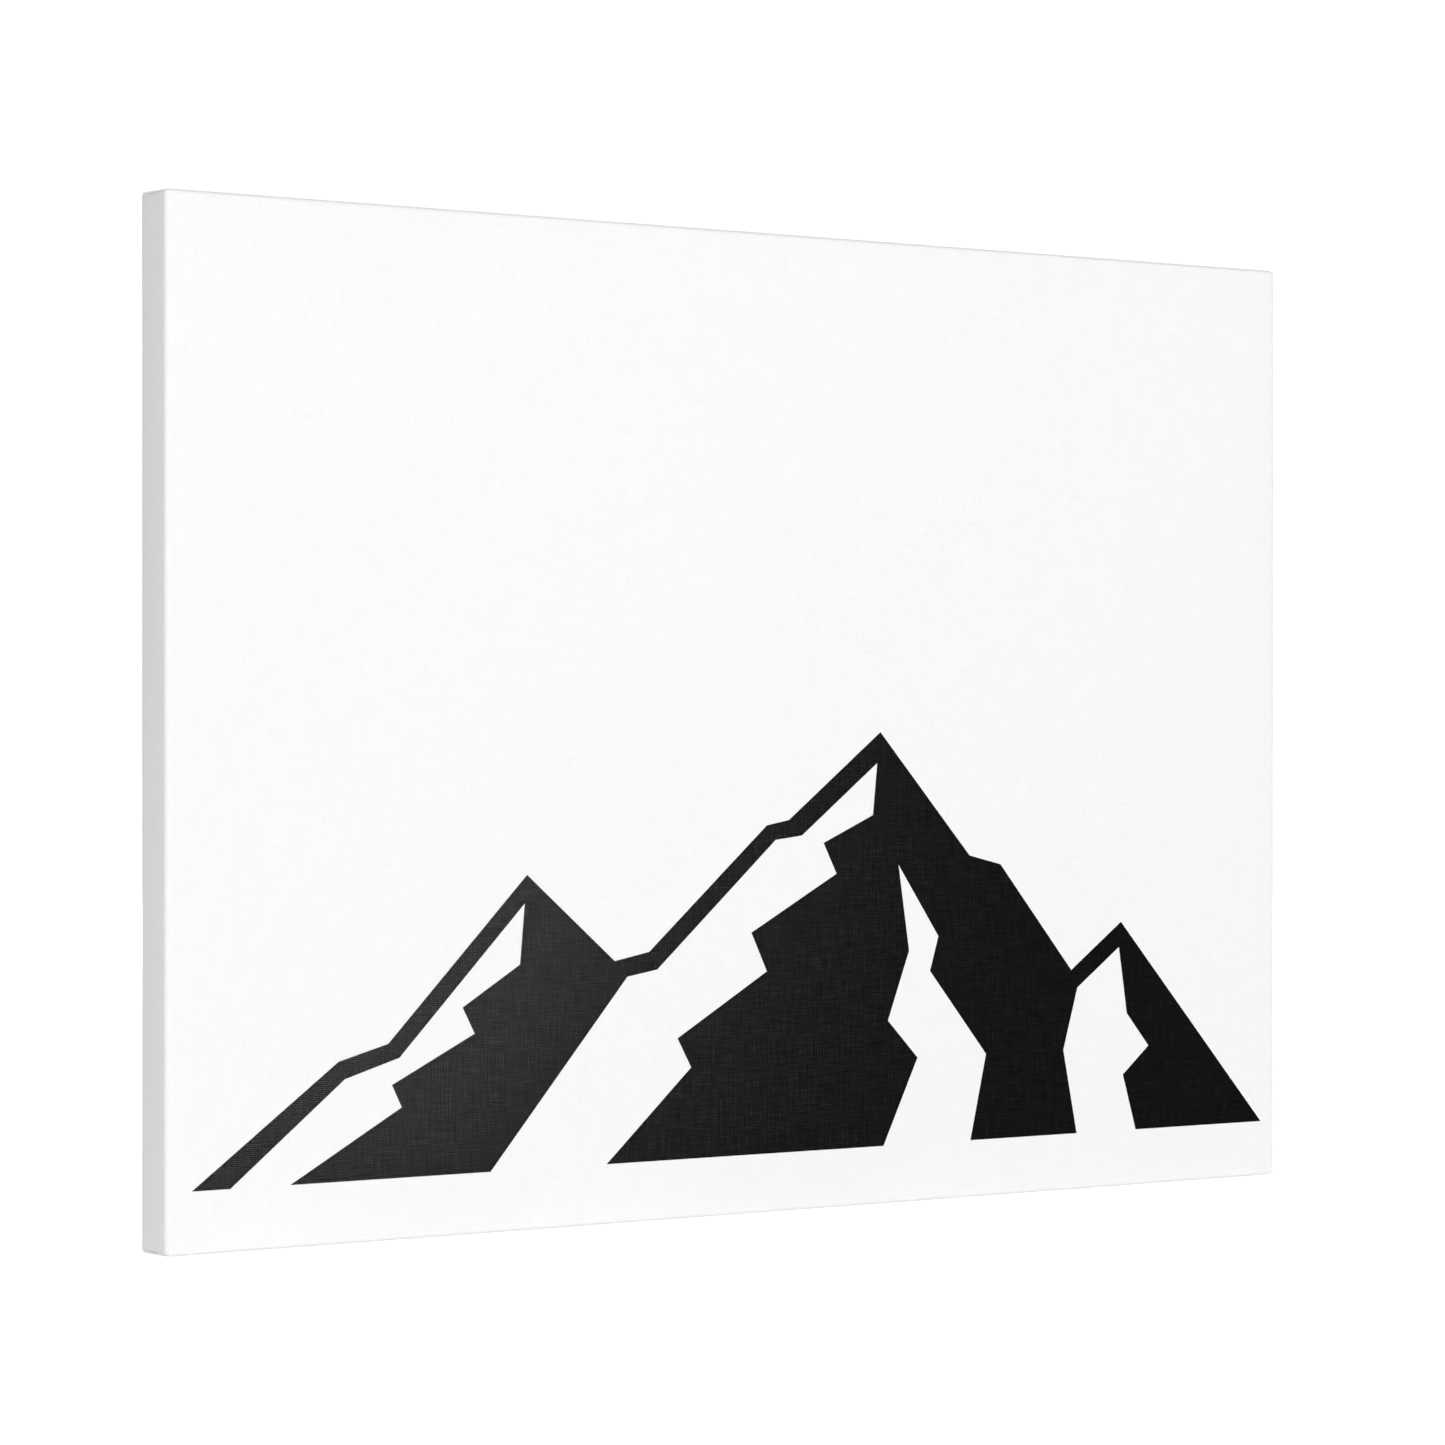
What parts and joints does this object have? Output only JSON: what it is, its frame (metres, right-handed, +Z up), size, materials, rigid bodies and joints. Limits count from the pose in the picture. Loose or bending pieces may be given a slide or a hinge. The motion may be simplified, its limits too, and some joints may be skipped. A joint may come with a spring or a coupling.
{
  "type": "stretched canvas",
  "caption": "Gallery-wrapped artist's canvas on a keyed wooden stretcher frame, with sliding corner keys and swinging D-ring hangers.",
  "frame": {"origin": "middle of the bottom edge of the wrapped canvas, half way through its depth", "axes": "+X to the right seen from the painted side, +Y from the painted side to the back, +Z up the canvas"},
  "size_m": [0.4064, 0.0214, 0.3048],
  "materials": {
    "canvas_cloth": "matte",
    "pine": "matte",
    "key_wood": "matte",
    "staple_steel": "satin",
    "screw_steel": "satin",
    "strap_nickel": "satin",
    "ring_nickel": "gloss",
    "bumper_rubber": "matte"
  },
  "bodies": {
    "frame": {"canvas": "canvas_cloth", "bar_top": "pine", "bar_bottom": "pine", "bar_left": "pine", "bar_right": "pine", "staples_top": "staple_steel", "staples_bottom": "staple_steel", "staples_left": "staple_steel", "staples_right": "staple_steel", "corner_staples": "staple_steel", "hanger_screws": "screw_steel", "hanger_strap_left": "strap_nickel", "hanger_strap_right": "strap_nickel", "bumper_left": "bumper_rubber", "bumper_right": "bumper_rubber"},
    "key_top_left_horizontal": {"key_top_left_horizontal": "key_wood"},
    "key_top_left_vertical": {"key_top_left_vertical": "key_wood"},
    "key_top_right_horizontal": {"key_top_right_horizontal": "key_wood"},
    "key_top_right_vertical": {"key_top_right_vertical": "key_wood"},
    "key_bottom_left_horizontal": {"key_bottom_left_horizontal": "key_wood"},
    "key_bottom_left_vertical": {"key_bottom_left_vertical": "key_wood"},
    "key_bottom_right_horizontal": {"key_bottom_right_horizontal": "key_wood"},
    "key_bottom_right_vertical": {"key_bottom_right_vertical": "key_wood"},
    "hanger_ring_left": {"hanger_ring_left": "ring_nickel"},
    "hanger_ring_right": {"hanger_ring_right": "ring_nickel"}
  },
  "joints": [
    {"name": "pull_key_top_left_horizontal", "type": "slide", "parent": "frame", "child": "key_top_left_horizontal", "axis": [1, 0, 0], "range_m": [0, 0.024]},
    {"name": "pull_key_top_left_vertical", "type": "slide", "parent": "frame", "child": "key_top_left_vertical", "axis": [0, 0, -1], "range_m": [0, 0.024]},
    {"name": "pull_key_top_right_horizontal", "type": "slide", "parent": "frame", "child": "key_top_right_horizontal", "axis": [-1, 0, 0], "range_m": [0, 0.024]},
    {"name": "pull_key_top_right_vertical", "type": "slide", "parent": "frame", "child": "key_top_right_vertical", "axis": [0, 0, -1], "range_m": [0, 0.024]},
    {"name": "pull_key_bottom_left_horizontal", "type": "slide", "parent": "frame", "child": "key_bottom_left_horizontal", "axis": [1, 0, 0], "range_m": [0, 0.024]},
    {"name": "pull_key_bottom_left_vertical", "type": "slide", "parent": "frame", "child": "key_bottom_left_vertical", "axis": [0, 0, 1], "range_m": [0, 0.024]},
    {"name": "pull_key_bottom_right_horizontal", "type": "slide", "parent": "frame", "child": "key_bottom_right_horizontal", "axis": [-1, 0, 0], "range_m": [0, 0.024]},
    {"name": "pull_key_bottom_right_vertical", "type": "slide", "parent": "frame", "child": "key_bottom_right_vertical", "axis": [0, 0, 1], "range_m": [0, 0.024]},
    {"name": "swing_ring_left", "type": "hinge", "parent": "frame", "child": "hanger_ring_left", "pos_m": [-0.1842, 0.0107, 0.232], "axis": [-1, 0, 0], "range_deg": [0, 170]},
    {"name": "swing_ring_right", "type": "hinge", "parent": "frame", "child": "hanger_ring_right", "pos_m": [0.1842, 0.0107, 0.232], "axis": [-1, 0, 0], "range_deg": [0, 170]}
  ]
}
